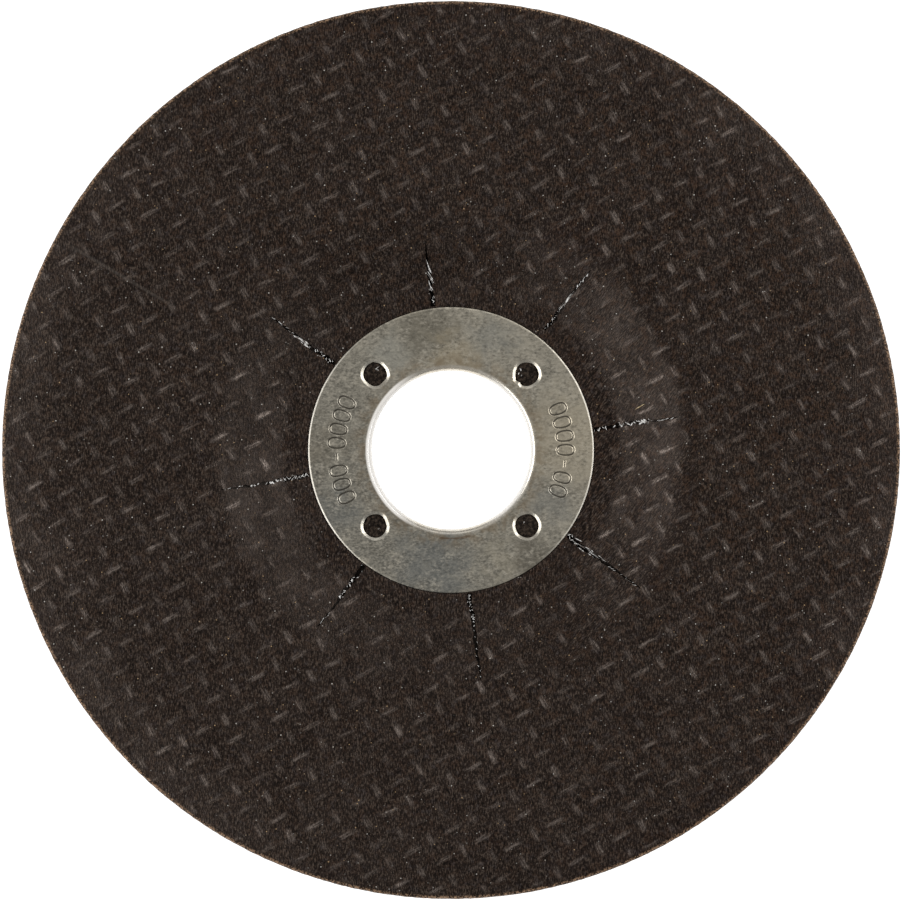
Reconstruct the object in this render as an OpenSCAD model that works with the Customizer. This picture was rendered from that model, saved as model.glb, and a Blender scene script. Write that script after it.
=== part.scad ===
// Depressed centre cut off wheel, lying on the flat back of its hub with the recess upward.
// Origin on the bore axis at the hub's back face, Z along the axis, millimetres.

/* [Wheel] */
// Outside diameter of the wheel
wheel_d = 125; // [100:1:180]
// Thickness of the pressed disc
wheel_t = 2.5; // [1.6:0.1:4]
// How far the centre is sunk below the outer face
dish_depth = 4.6; // [3:0.1:6]
// Width of flat floor left around the steel ring
floor_margin = 3.4; // [2:0.1:6]
// Radial width of the cone between floor and outer face
cone_run = 9.3; // [6:0.1:14]
// Inner radius of the bends at both ends of the cone
bend_r = 3; // [1:0.1:4]
// Bevel on both edges of the rim
rim_bevel = 0.2; // [0.05:0.05:0.5]

/* [Steel ring] */
// Bore of the ring
bore_d = 22.23; // [16:0.01:25.4]
// Outside diameter of the flange
ring_d = 40; // [36:0.5:48]
// Thickness of the sheet
sheet_t = 0.5; // [0.3:0.05:0.8]
// How far the flange stands above the floor
ring_proud = 0.25; // [0.1:0.05:0.28]
// Radius of the rolled edge between flange and bore
roll_r = 0.9; // [0.85:0.05:1.2]
// Bevel on the outer edge of the flange
flange_bevel = 0.12; // [0.05:0.01:0.2]
// How far the collar ends above the hub's back
collar_gap = 0.2; // [0.05:0.05:0.4]
// Free gap between the ring's edges and the wheel
seat_gap = 0.08; // [0.05:0.01:0.15]

/* [Grip holes] */
// Number of pierced holes
grip_n = 4; // [3:1:8]
// Diameter of a pierced hole
grip_d = 3.3; // [2:0.1:4]
// Bearing of the first hole in degrees
grip_bearing = 45; // [0:1:90]
// How far the holes lie inside the middle of the flat flange
grip_inset = 1; // [0:0.1:1.5]
// Depth of the turned lip below the flange
grip_lip = 0.6; // [0.3:0.05:0.9]
// Wall of the turned lip
lip_wall = 0.3; // [0.2:0.05:0.5]

/* [Woven crowns] */
// Distance between crossings along the first yarns
pitch_a = 3.28; // [3:0.01:5]
// Distance between crossings along the second yarns
pitch_b = 3.16; // [3:0.01:5]
// Bearing of the first yarns in degrees
yarn_bearing = 28.6; // [0:0.1:90]
// How far the second yarns are from square to the first, in degrees
yarn_skew = 1.8; // [-5:0.1:5]
// Offset of the weave along the first yarns, in crossings
shift_a = -0.05; // [-0.5:0.01:0.5]
// Offset of the weave along the second yarns, in crossings
shift_b = 0.35; // [-0.5:0.01:0.5]
// Length of a crown where a yarn passes over
crown_len = 2.3; // [1.5:0.05:2.6]
// Width of a crown on the first yarns
crown_w = 0.6; // [0.3:0.05:0.9]
// How much wider the crowns on the second yarns are
crown_wider = 1.2; // [0.8:0.05:1.5]
// Height of a crown above the face
crown_h = 0.14; // [0.08:0.01:0.3]

/* [Torn slits] */
// Width of a slit at its mouth by the ring
slit_w = 0.7; // [0.4:0.05:1.2]
// Depth of a slit below the face
slit_depth = 0.5; // [0.3:0.05:0.8]

/* [Hidden] */
$fn = 96;

wheel_r = wheel_d/2;
ring_r = ring_d/2;
bore_r = bore_d/2;
floor_r = ring_r + floor_margin;
cone_r = floor_r + cone_run;
slope = atan(dish_depth/cone_run);
half_tan = tan(slope/2);

// cuts run past the faces they open by this much, and fused pieces reach into each other by it
over = 0.5;

// heights: hub floor, outer face, flange top, seat under the flange
floor_z = wheel_t;
face_top = wheel_t + dish_depth;
ring_top = floor_z + ring_proud;
seat_z = ring_top - sheet_t;

// the bends are concentric through the thickness
wide_r = bend_r + wheel_t;
bend_a = floor_r - bend_r*half_tan;
bend_b = floor_r + bend_r*half_tan*cos(slope);
bend_c = cone_r - wide_r*half_tan*cos(slope);
bend_d = cone_r + wide_r*half_tan;
back_floor_r = floor_r + wheel_t*half_tan;
back_cone_r = cone_r + wheel_t*half_tan;

// the ring's own shape
fold_r = roll_r - sheet_t;
collar_r = bore_r + sheet_t;
hole_r = grip_d/2;
grip_r = (ring_r + bore_r + roll_r)/2 - grip_inset;
lip_r = hole_r + lip_wall;
mouth_r = sheet_t;
mouth_drop = 0.9*mouth_r;

// bearing, start outside the flange edge and end as a share of the cone, for each slit
slits = [[8.2, -0.4, 0.93], [52.2, 1.3, 0.89], [97.1, -0.4, 0.60], [143.6, -0.4, 0.86],
         [189.8, -0.4, 0.97], [232.9, -0.4, 0.80], [277.4, -0.4, 0.95], [323.8, -0.4, 0.97]];
slit_steps = 7;
slit_tip = 0.06;
slit_lean = 0.35;
slit_ragged = [0.6, 1.1];

function polar(r, a) = [r*cos(a), r*sin(a)];
function bow(c, r, a0, a1, n) = [for (k = [0:n]) c + polar(r, a0 + (a1 - a0)*k/n)];

// height of the recessed face at radius r
function face_z(r) =
    r < bend_a ? floor_z :
    r < bend_b ? floor_z + bend_r - sqrt(bend_r*bend_r - (r - bend_a)*(r - bend_a)) :
    r < bend_c ? floor_z + (r - floor_r)*tan(slope) :
    r < bend_d ? face_top - wide_r + sqrt(wide_r*wide_r - (bend_d - r)*(bend_d - r)) :
    face_top;

// the recessed face from radius r0 to the rim, lowered by drop
function face_line(r0, drop) = concat(
    [[r0, floor_z - drop]],
    bow([bend_a, floor_z + bend_r - drop], bend_r, 270, 270 + slope, 6),
    bow([bend_d, face_top - wide_r - drop], wide_r, 90 + slope, 90, 6));

module wheel_section() {
    back_a = back_floor_r - wide_r*half_tan;
    back_d = back_cone_r + bend_r*half_tan;
    polygon(concat(
        [[collar_r + seat_gap, 0],
         [collar_r + seat_gap, seat_z - fold_r - seat_gap],
         [collar_r + seat_gap + fold_r, seat_z],
         [ring_r + seat_gap, seat_z]],
        face_line(ring_r + seat_gap, 0),
        [[wheel_r - rim_bevel, face_top],
         [wheel_r, face_top - rim_bevel],
         [wheel_r, dish_depth + rim_bevel],
         [wheel_r - rim_bevel, dish_depth]],
        bow([back_d, dish_depth - bend_r], bend_r, 90, 90 + slope, 6),
        bow([back_a, wide_r], wide_r, 270 + slope, 270, 6)));
}

// crossings that carry a crown: place, direction and width
weave_n = ceil(wheel_r/min(pitch_a, pitch_b)) + 2;
step_a = polar(pitch_a, yarn_bearing);
step_b = polar(pitch_b, yarn_bearing + 90 + yarn_skew);
crown_sink = 0.05;
base_grow = (crown_h + crown_sink)/crown_h;
base_len = crown_len*base_grow;
function base_w(odd) = (odd ? 1 : crown_wider)*crown_w*base_grow;
function clear_of_slits(p) = min([for (s = slits)
    let (q = [p*polar(1, s[0]), abs(p*polar(1, s[0] + 90))])
    q[0] < 0 || q[0] > floor_r + s[2]*cone_run + base_len ? wheel_r : q[1]]) > base_len/2 + slit_w;
crossings = [for (i = [-weave_n:weave_n]) for (j = [-weave_n:weave_n])
    let (p = (i + shift_a)*step_a + (j + shift_b)*step_b, odd = (i + j) % 2 != 0)
    if (norm(p) > floor_r + crown_w && norm(p) < wheel_r - 2*rim_bevel - base_len/2
        && clear_of_slits(p))
    [p, yarn_bearing + (odd ? 0 : 90 + yarn_skew), base_w(odd)]];

// one crown: a lozenge whose four corners lie below the face and whose peak stands above it
function drape(p, lift) = [p[0], p[1], face_z(norm(p)) + lift];
function crown(c) =
    let (along = polar(base_len/2, c[1]), across = polar(c[2]/2, c[1] + 90))
    [drape(c[0] - along, -crown_sink), drape(c[0] - across, -crown_sink),
     drape(c[0] + along, -crown_sink), drape(c[0] + across, -crown_sink), drape(c[0], crown_h)];
crown_faces = [[0, 1, 2], [0, 2, 3], [4, 1, 0], [4, 2, 1], [4, 3, 2], [4, 0, 3]];

module crowns() {
    polyhedron(
        points = [for (c = crossings) each crown(c)],
        faces = [for (k = [0:len(crossings) - 1]) for (f = crown_faces) [for (v = f) v + 5*k]]);
}

// a slit tears outward in a crooked line and closes to a point
module slit_outline(s) {
    r0 = ring_r + s[1];
    r1 = floor_r + s[2]*cone_run;
    lean = rands(-slit_lean, slit_lean, slit_steps + 1, 10*s[0]);
    part = rands(slit_ragged[0], slit_ragged[1], slit_steps + 1, 10*s[0] + 5);
    mid = [for (k = [0:slit_steps]) [r0 + (r1 - r0)*k/slit_steps, lean[k]*slit_w]];
    half = [for (k = [0:slit_steps]) part[k]*slit_w/2*(1 - pow(k/slit_steps, 2)) + slit_tip/2];
    rotate(s[0]) polygon(concat(
        [for (k = [0:slit_steps]) mid[k] - [0, half[k]]],
        [for (k = [slit_steps:-1:0]) mid[k] + [0, half[k]]]));
}

module slit_cuts() {
    intersection() {
        rotate_extrude() polygon(concat(
            face_line(ring_r - over, slit_depth),
            [[wheel_r - over, face_top - slit_depth],
             [wheel_r - over, face_top + over],
             [ring_r - over, face_top + over]]));
        linear_extrude(face_top + 2*over)
            for (s = slits) slit_outline(s);
    }
}

module at_grips() {
    for (k = [0:grip_n - 1])
        rotate(grip_bearing + 360*k/grip_n) translate([grip_r, 0, 0]) children();
}

module abrasive_wheel() {
    color([0.18, 0.16, 0.14])
    union() {
        difference() {
            union() {
                rotate_extrude() wheel_section();
                // the disc stands up a little inside each pierced hole
                at_grips() translate([0, 0, seat_z - over])
                    cylinder(r = hole_r - seat_gap, h = floor_z - seat_z + over);
            }
            slit_cuts();
            at_grips() translate([0, 0, seat_z - grip_lip - seat_gap]) difference() {
                cylinder(r = lip_r + seat_gap, h = grip_lip + seat_gap + over);
                translate([0, 0, -over]) cylinder(r = hole_r - seat_gap, h = grip_lip + seat_gap + 3*over);
            }
        }
        crowns();
    }
}

module ring_section() {
    flat_r = bore_r + roll_r;
    difference() {
        union() {
            polygon([[flat_r, seat_z], [ring_r, seat_z], [ring_r, ring_top - flange_bevel],
                     [ring_r - flange_bevel, ring_top], [flat_r, ring_top]]);
            translate([bore_r, collar_gap]) square([sheet_t, ring_top - roll_r - collar_gap]);
            intersection() {
                translate([flat_r, ring_top - roll_r]) circle(r = roll_r);
                translate([bore_r, ring_top - roll_r]) square(roll_r);
            }
        }
        translate([flat_r, ring_top - roll_r]) circle(r = fold_r);
    }
}

module arbor_ring() {
    color([0.50, 0.48, 0.44])
    difference() {
        union() {
            rotate_extrude() ring_section();
            at_grips() translate([0, 0, seat_z - grip_lip]) cylinder(r = lip_r, h = grip_lip + sheet_t/2);
        }
        at_grips() {
            translate([0, 0, seat_z - grip_lip - over])
                cylinder(r = hole_r, h = grip_lip + sheet_t + 2*over);
            // rounded mouth of the pierced hole
            translate([0, 0, ring_top]) rotate_extrude() difference() {
                translate([0, -mouth_drop]) square([hole_r + mouth_drop, mouth_drop + over]);
                translate([hole_r + mouth_r, -mouth_drop]) circle(r = mouth_r);
            }
        }
    }
}

abrasive_wheel();
arbor_ring();
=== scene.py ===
"""Cut off wheel lying on its hub, recess up: woven abrasive disc, torn slits and a stamped steel ring.

Shapes are worked out in millimetres in the frame's axes and written to the meshes in metres.
"""

import math
from collections import Counter

import bmesh
import bpy
import numpy as np
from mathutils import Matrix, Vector
from mathutils.geometry import delaunay_2d_cdt

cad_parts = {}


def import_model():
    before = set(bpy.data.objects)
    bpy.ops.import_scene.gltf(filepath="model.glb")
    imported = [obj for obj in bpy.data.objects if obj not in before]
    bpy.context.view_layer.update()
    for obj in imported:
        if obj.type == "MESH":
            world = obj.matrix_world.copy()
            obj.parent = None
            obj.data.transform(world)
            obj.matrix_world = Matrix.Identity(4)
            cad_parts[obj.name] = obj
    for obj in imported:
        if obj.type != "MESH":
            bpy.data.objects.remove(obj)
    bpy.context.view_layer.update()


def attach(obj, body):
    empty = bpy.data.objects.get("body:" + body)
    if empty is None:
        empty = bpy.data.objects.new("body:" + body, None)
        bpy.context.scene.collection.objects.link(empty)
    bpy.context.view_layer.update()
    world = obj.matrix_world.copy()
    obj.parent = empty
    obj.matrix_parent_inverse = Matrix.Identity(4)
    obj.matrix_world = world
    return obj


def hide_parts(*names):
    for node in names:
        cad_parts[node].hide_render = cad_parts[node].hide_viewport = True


MM = 0.001
# Slit k draws from SEED + k
SEED = 7
PLUG_SEED = SEED + 50
GLASS_SEED = SEED + 100
HOLE_SEED = SEED + 200

# The disc
WHEEL_R = 62.5
WHEEL_T = 2.5
DISH_DEPTH = 4.6
FLOOR_R = 23.4
CONE_R = 32.7
BEND_R = 3.0
RIM_BEVEL = 0.2
SLOPE = math.atan2(DISH_DEPTH, CONE_R - FLOOR_R)
HALF_TAN = math.tan(SLOPE / 2)
FACE_TOP = WHEEL_T + DISH_DEPTH

# The ring, and the seat and bore that the disc has for it
BORE_R = 11.115
RING_R = 20.0
SHEET_T = 0.5
RING_TOP = WHEEL_T + 0.25
SEAT_Z = RING_TOP - SHEET_T
ROLL_R = 0.9
FOLD_R = ROLL_R - SHEET_T
EDGE_W = 0.25
EDGE_DROP = 0.125
COLLAR_Z = 0.2
SEAT_GAP = 0.08
SEAT_R = RING_R + SEAT_GAP
BORE_WALL_R = BORE_R + SHEET_T + SEAT_GAP
GRIP_R = 15.0
GRIP_HOLE_R = 1.65
GRIP_BEARINGS = (45, 135, 225, 315)
GRIP_LIP = 0.6

# The weave: two yarn sets, with a crown at each crossing
PITCH_A = 3.28
PITCH_B = 3.16
YARN_BEARING = 28.6
YARN_SKEW = 1.8
SHIFT_A = -0.05
SHIFT_B = 0.35
CROWN_H = 0.13
CROWN_HALF_LEN = 1.25
CROWN_HALF_W = 0.42
SECOND_SET_WIDER = 1.2
LEAST_CROWN = 0.55

# The slits: bearing, first radius and last radius
SLITS = (
    (8.2, 20.2, 32.1),
    (52.2, 21.3, 31.7),
    (97.1, 20.2, 29.0),
    (143.6, 20.2, 31.4),
    (189.8, 20.2, 32.4),
    (232.9, 20.2, 30.8),
    (277.4, 20.2, 32.2),
    (323.8, 20.2, 32.6),
)
SLIT_STEPS = 30
SLIT_W = 0.74
SLIT_DEPTH = 0.55
SLIT_WANDER = 0.03
SLIT_TAPER = 0.78
SLIT_TAPER_POWER = 1.6
SLIT_RAGGED = (0.35, 1.35)


def direction(degrees):
    """Unit vector in the plane of the wheel."""
    a = math.radians(degrees)
    return np.array([math.cos(a), math.sin(a)])


def circle(radius, count):
    """Points round the axis; the radius is one number, or one for each point."""
    a = np.arange(count) * 2 * math.pi / count
    return np.stack([radius * np.cos(a), radius * np.sin(a)], 1)


def row(radius, count, height, centre=(0.0, 0.0)):
    """Circle of points in space; the height is one number, or one for each point."""
    return np.column_stack([circle(radius, count) + centre, np.full(count, height)])


# Section of the disc


def dished(r, base, floor_r, cone_r, low_bend, high_bend):
    """Height at radius r of a face with a flat floor, a bend, a cone, a second bend and an outer flat."""
    # Radii where the bends start and end
    a = floor_r - low_bend * HALF_TAN
    b = floor_r + low_bend * HALF_TAN * math.cos(SLOPE)
    c = cone_r - high_bend * HALF_TAN * math.cos(SLOPE)
    d = cone_r + high_bend * HALF_TAN
    top = base + DISH_DEPTH
    low = base + low_bend - np.sqrt(np.maximum(low_bend**2 - (r - a) ** 2, 0))
    cone = base + (r - floor_r) * math.tan(SLOPE)
    high = top - high_bend + np.sqrt(np.maximum(high_bend**2 - (d - r) ** 2, 0))
    return np.select([r < a, r < b, r < c, r < d], [base, low, cone, high], top)


def face_height(r):
    """Height of the recessed face at radius r."""
    return dished(r, WHEEL_T, FLOOR_R, CONE_R, BEND_R, BEND_R + WHEEL_T)


def back_height(r):
    """Height of the hidden face at radius r."""
    offset = WHEEL_T * HALF_TAN
    return dished(r, 0.0, FLOOR_R + offset, CONE_R + offset, BEND_R + WHEEL_T, BEND_R)


# Weave

NORMAL_U = direction(YARN_BEARING + YARN_SKEW)
NORMAL_V = direction(YARN_BEARING + 90)
PERIOD_U = PITCH_A * math.cos(math.radians(YARN_SKEW))
PERIOD_V = PITCH_B * math.cos(math.radians(YARN_SKEW))
STEP_A = PITCH_A * direction(YARN_BEARING)
STEP_B = PITCH_B * direction(YARN_BEARING + 90 + YARN_SKEW)
# How the yarns wander, in pitches: a long wave with its phase, and a cross wave, for each set
DRIFT = 0.11
DRIFT_WAVE = 0.085
PHASE_U = 0.6
PHASE_V = 2.1
CROSS_DRIFT = 0.5 * DRIFT
CROSS_WAVE_U = 1.9 * DRIFT_WAVE
CROSS_WAVE_V = 1.7 * DRIFT_WAVE
DRIFT_ROUNDS = 3
SPARE_YARNS = 3
# Factors of the usual sine hash, which gives each crossing its own chance
HASH_I = 12.9898
HASH_J = 78.233
HASH_SCALE = 43758.5453


def drift(x, y):
    """How far the yarns wander from their straight lines, in pitches."""
    along_u = DRIFT * np.sin(DRIFT_WAVE * y + PHASE_U) + CROSS_DRIFT * np.sin(CROSS_WAVE_U * x)
    along_v = DRIFT * np.sin(DRIFT_WAVE * x + PHASE_V) + CROSS_DRIFT * np.sin(CROSS_WAVE_V * y)
    return along_u, along_v


def lattice(x, y):
    """Position counted in yarns of each set; a crossing lies at whole numbers."""
    du, dv = drift(x, y)
    u = (x * NORMAL_U[0] + y * NORMAL_U[1]) / PERIOD_U - SHIFT_A + du
    v = (x * NORMAL_V[0] + y * NORMAL_V[1]) / PERIOD_V - SHIFT_B + dv
    return u, v


def crown_relief(x, y):
    """Height of the woven crowns above the face, in millimetres."""
    u, v = lattice(x, y)
    i, j = np.round(u), np.round(v)
    a, b = (u - i) * PITCH_A, (v - j) * PITCH_B
    first = np.mod(i + j, 2) > 0.5
    along, across = np.where(first, a, b), np.where(first, b, a)
    ends = np.clip(1 - (along / CROWN_HALF_LEN) ** 2, 0, 1)
    width = CROWN_HALF_W * np.where(first, 1.0, SECOND_SET_WIDER)
    sides = np.clip(1 - (across / width) ** 2, 0, 1)
    chance = np.sin(i * HASH_I + j * HASH_J) * HASH_SCALE
    strength = LEAST_CROWN + (1 - LEAST_CROWN) * (chance - np.floor(chance))
    return CROWN_H * strength * ends * sides


def weave_points(offsets, inner, outer):
    """Points on a grid that follows the yarns, denser beside each yarn's middle."""
    n = int(outer / min(PITCH_A, PITCH_B)) + SPARE_YARNS
    lines_u = np.concatenate([k + offsets / PITCH_A for k in range(-n, n + 1)])
    lines_v = np.concatenate([k + offsets / PITCH_B for k in range(-n, n + 1)])
    u, v = np.meshgrid(lines_u, lines_v)
    u, v = u.ravel(), v.ravel()
    p = np.outer(u + SHIFT_A, STEP_A) + np.outer(v + SHIFT_B, STEP_B)
    for _ in range(DRIFT_ROUNDS):
        du, dv = drift(p[:, 0], p[:, 1])
        p = np.outer(u + SHIFT_A - du, STEP_A) + np.outer(v + SHIFT_B - dv, STEP_B)
    r = np.hypot(p[:, 0], p[:, 1])
    return p[(r > inner) & (r < outer)]


# Slits


def slit_outline(index):
    """Crooked outline of one slit in the plane, anticlockwise."""
    bearing, first, last = SLITS[index]
    rng = np.random.default_rng(SEED + index)
    t = np.linspace(0, 1, SLIT_STEPS)
    wander = np.cumsum(rng.normal(0, SLIT_WANDER, SLIT_STEPS))
    wander -= np.linspace(wander[0], wander[-1], SLIT_STEPS)
    half = SLIT_W / 2 * (1 - SLIT_TAPER * t**SLIT_TAPER_POWER)
    left = half * rng.uniform(*SLIT_RAGGED, SLIT_STEPS)
    right = half * rng.uniform(*SLIT_RAGGED, SLIT_STEPS)
    radius = first + (last - first) * t
    out, side = direction(bearing), direction(bearing + 90)
    lower = np.outer(radius, out) + np.outer(wander - right, side)
    upper = np.outer(radius, out) + np.outer(wander + left, side)
    return np.concatenate([lower, upper[::-1]])


def inside(points, loop):
    """Which points lie inside a closed loop."""
    x, y = points[:, 0], points[:, 1]
    hit = np.zeros(len(points), bool)
    for (x0, y0), (x1, y1) in zip(loop, np.roll(loop, -1, 0)):
        crosses = (y0 > y) != (y1 > y)
        with np.errstate(divide="ignore", invalid="ignore"):
            at = (x1 - x0) * (y - y0) / (y1 - y0) + x0
        hit ^= crosses & (x < at)
    return hit


# Meshes

# Metres within which vertices are welded, and degrees up to which shading is smooth
WELD = 2e-7
SMOOTH_ANGLE = 40
# Millimetres: no distance to the triangulation, and least distance of a kept triangle from an edge
NO_DISTANCE = 1e-7
MIDDLE_OFF = 0.01


def grid_faces(rows, columns, closed=False):
    """Quads between rows of points that run round an axis; closed joins the last row to the first."""
    faces = []
    for k in range(rows if closed else rows - 1):
        m = (k + 1) % rows
        for c in range(columns):
            d = (c + 1) % columns
            faces.append((k * columns + c, k * columns + d, m * columns + d, m * columns + c))
    return faces


def smooth(mesh, degrees):
    """Smooth shading, with edges kept sharp above an angle."""
    mesh.shade_smooth()
    mesh.set_sharp_from_angle(angle=math.radians(degrees))


def linked(name, data):
    """Object in the scene that shows this data."""
    obj = bpy.data.objects.new(name, data)
    bpy.context.scene.collection.objects.link(obj)
    return obj


class Pile:
    """Vertices and faces of one piece, gathered part by part."""

    def __init__(self):
        self.verts = []
        self.faces = []
        self.count = 0

    def add(self, verts, faces):
        self.verts.append(np.asarray(verts, float))
        self.faces += [[k + self.count for k in f] for f in faces]
        self.count += len(verts)

    def revolve(self, profile, count):
        """Sweeps a profile of (r, z) points round the axis."""
        rows = [row(r, count, z) for r, z in profile]
        self.add(np.concatenate(rows), grid_faces(len(rows), count))

    def stack(self, rows):
        """Closed shape through rows of points that run round an axis, capped at both ends."""
        count = len(rows[0])
        last = (len(rows) - 1) * count
        caps = [tuple(range(count)), tuple(range(last, last + count))]
        self.add(np.concatenate(rows), grid_faces(len(rows), count) + caps)

    def piece(self, name, material, angle=SMOOTH_ANGLE):
        """Makes the object, with doubles welded, loose vertices gone and normals outward."""
        mesh = bpy.data.meshes.new(name)
        mesh.from_pydata(np.concatenate(self.verts) * MM, [], self.faces)
        bm = bmesh.new()
        bm.from_mesh(mesh)
        loose = [v for v in bm.verts if not v.link_faces]
        bmesh.ops.delete(bm, geom=loose, context="VERTS")
        bmesh.ops.remove_doubles(bm, verts=bm.verts, dist=WELD)
        bmesh.ops.recalc_face_normals(bm, faces=bm.faces)
        bm.to_mesh(mesh)
        bm.free()
        smooth(mesh, angle)
        mesh.materials.append(material)
        return linked(name, mesh)


def triangulate(points, loops):
    """Triangles over points and closed loops, each loop kept as edges."""
    coords = [Vector(p) for p in points]
    edges = []
    for loop in loops:
        start = len(coords)
        coords += [Vector(p) for p in loop]
        edges += [(start + k, start + (k + 1) % len(loop)) for k in range(len(loop))]
    verts, _, faces, *_ = delaunay_2d_cdt(coords, edges, [], 0, NO_DISTANCE)
    return np.array([(v.x, v.y) for v in verts]), np.array(faces)


def outside(flat, faces, radius):
    """Which triangles lie outside a radius."""
    middle = flat[faces].mean(1)
    return np.hypot(middle[:, 0], middle[:, 1]) > radius + MIDDLE_OFF


# The disc's mesh

RIM_COUNT = 720
RIM_CHIP = 0.05
RIM_SHOULDER = 0.8
SEAT_COUNT = 240
BORE_COUNT = 160
FACE_OFFSETS = np.array([-1.05, -0.5, -0.25, 0.0, 0.25, 0.5, 1.05])
BACK_OFFSETS = np.array([-0.5, -0.17, 0.17, 0.5, 1.6])
# Where the weave's points begin and end on each face
WEAVE_EDGE_R = WHEEL_R - RIM_BEVEL
FACE_WEAVE = (RING_R + 0.25, WEAVE_EDGE_R - 0.15)
BACK_WEAVE = (BORE_R + 1.0, WEAVE_EDGE_R - 0.2)
# Where the crowns start on each face, and over what length they rise there and fade at the rim
FACE_CROWNS_R = FLOOR_R - 1.5
BACK_CROWNS_R = FLOOR_R + 1.0
CROWN_RISE = 2.5
CROWN_FADE = 0.4
# Rings of points on the seat
SEAT_RINGS = (13.5, 15.5, 17.5)
SEAT_RING_COUNT = 80
# Grain that stands up in the ring's holes: rings of points, and depths below the face
PLUG_COUNT = 20
PLUG_RINGS = (1.2, 0.8, 0.4)
PLUG_LOWEST = 0.26
PLUG_HIGHEST = 0.08
PLUG_EDGE = 0.2
PLUG_FOOT = 0.05


def crowns(flat, start):
    """Relief at points of a face: none within the start radius, and fading out at the rim."""
    x, y = flat[:, 0], flat[:, 1]
    r = np.hypot(x, y)
    rise = np.clip((r - start) / CROWN_RISE, 0, 1)
    fade = np.clip((WEAVE_EDGE_R - r) / CROWN_FADE, 0, 1)
    return crown_relief(x, y) * rise * fade


def add_face(pile):
    """Recessed face: woven relief, with the slits cut into it."""
    rim = circle(WEAVE_EDGE_R, RIM_COUNT)
    seat = circle(SEAT_R, SEAT_COUNT)
    slits = [slit_outline(k) for k in range(len(SLITS))]
    points = weave_points(FACE_OFFSETS, *FACE_WEAVE)
    for loop in slits:
        points = points[~inside(points, loop)]
    flat, faces = triangulate(points, [rim, seat, *slits])
    torn = np.zeros(len(faces), bool)
    for loop in slits:
        torn |= inside(flat[faces].mean(1), loop)
    height = face_height(np.hypot(flat[:, 0], flat[:, 1]))
    top = np.column_stack([flat, height + crowns(flat, FACE_CROWNS_R)])
    sunk = np.column_stack([flat, height - SLIT_DEPTH])
    pile.add(top, faces[outside(flat, faces, SEAT_R) & ~torn].tolist())
    pile.add(sunk, faces[torn].tolist())
    edges = Counter(tuple(sorted((f[k], f[k - 1]))) for f in faces[torn] for k in range(3))
    for a, b in (edge for edge, uses in edges.items() if uses == 1):
        pile.add([top[a], top[b], sunk[b], sunk[a]], [(0, 1, 2, 3)])


def add_back(pile):
    """Hidden face: the same weave, pressed flat where the hub seats."""
    rim = circle(WEAVE_EDGE_R, RIM_COUNT)
    bore = circle(BORE_WALL_R, BORE_COUNT)
    flat, faces = triangulate(weave_points(BACK_OFFSETS, *BACK_WEAVE), [rim, bore])
    height = back_height(np.hypot(flat[:, 0], flat[:, 1])) - crowns(flat, BACK_CROWNS_R)
    pile.add(np.column_stack([flat, height]), faces[outside(flat, faces, BORE_WALL_R)].tolist())


def add_rim(pile):
    """Outer edge, slightly uneven as pressed grain is."""
    rng = np.random.default_rng(SEED)
    steps = [
        (WHEEL_R - RIM_BEVEL, FACE_TOP),
        (WHEEL_R, FACE_TOP - RIM_BEVEL),
        (WHEEL_R, FACE_TOP - RIM_SHOULDER),
        (WHEEL_R, DISH_DEPTH + RIM_SHOULDER),
        (WHEEL_R, DISH_DEPTH + RIM_BEVEL),
        (WHEEL_R - RIM_BEVEL, DISH_DEPTH),
    ]
    rows = []
    for k, (radius, height) in enumerate(steps):
        chipped = 0 < k < len(steps) - 1
        shrink = 1 - rng.uniform(0, RIM_CHIP / WHEEL_R, RIM_COUNT) * chipped
        rows.append(row(radius * shrink, RIM_COUNT, height))
    pile.add(np.concatenate(rows), grid_faces(len(rows), RIM_COUNT))


def add_seat(pile):
    """Seat under the steel ring's flange, and the bore round its collar."""
    bend_r = BORE_WALL_R + FOLD_R
    pile.revolve([(SEAT_R, WHEEL_T), (SEAT_R, SEAT_Z)], SEAT_COUNT)
    rings = np.concatenate([circle(radius, SEAT_RING_COUNT) for radius in SEAT_RINGS])
    flat, faces = triangulate(rings, [circle(SEAT_R, SEAT_COUNT), circle(bend_r, BORE_COUNT)])
    height = np.full(len(flat), SEAT_Z)
    pile.add(np.column_stack([flat, height]), faces[outside(flat, faces, bend_r)].tolist())
    wall_top = SEAT_Z - FOLD_R - SEAT_GAP
    pile.revolve([(bend_r, SEAT_Z), (BORE_WALL_R, wall_top), (BORE_WALL_R, 0.0)], BORE_COUNT)


def add_plugs(pile):
    """Rough grain that stands up a little in each of the ring's holes."""
    rng = np.random.default_rng(PLUG_SEED)
    edge_r = GRIP_HOLE_R - SEAT_GAP
    for bearing in GRIP_BEARINGS:
        centre = GRIP_R * direction(bearing)
        rows = [
            row(edge_r, PLUG_COUNT, SEAT_Z - PLUG_FOOT, centre),
            row(edge_r, PLUG_COUNT, WHEEL_T - PLUG_EDGE, centre),
        ]
        for radius in PLUG_RINGS:
            lift = rng.uniform(-PLUG_LOWEST, -PLUG_HIGHEST, PLUG_COUNT)
            rows.append(row(radius, PLUG_COUNT, WHEEL_T + lift, centre))
        pile.stack(rows)


# Materials


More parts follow.
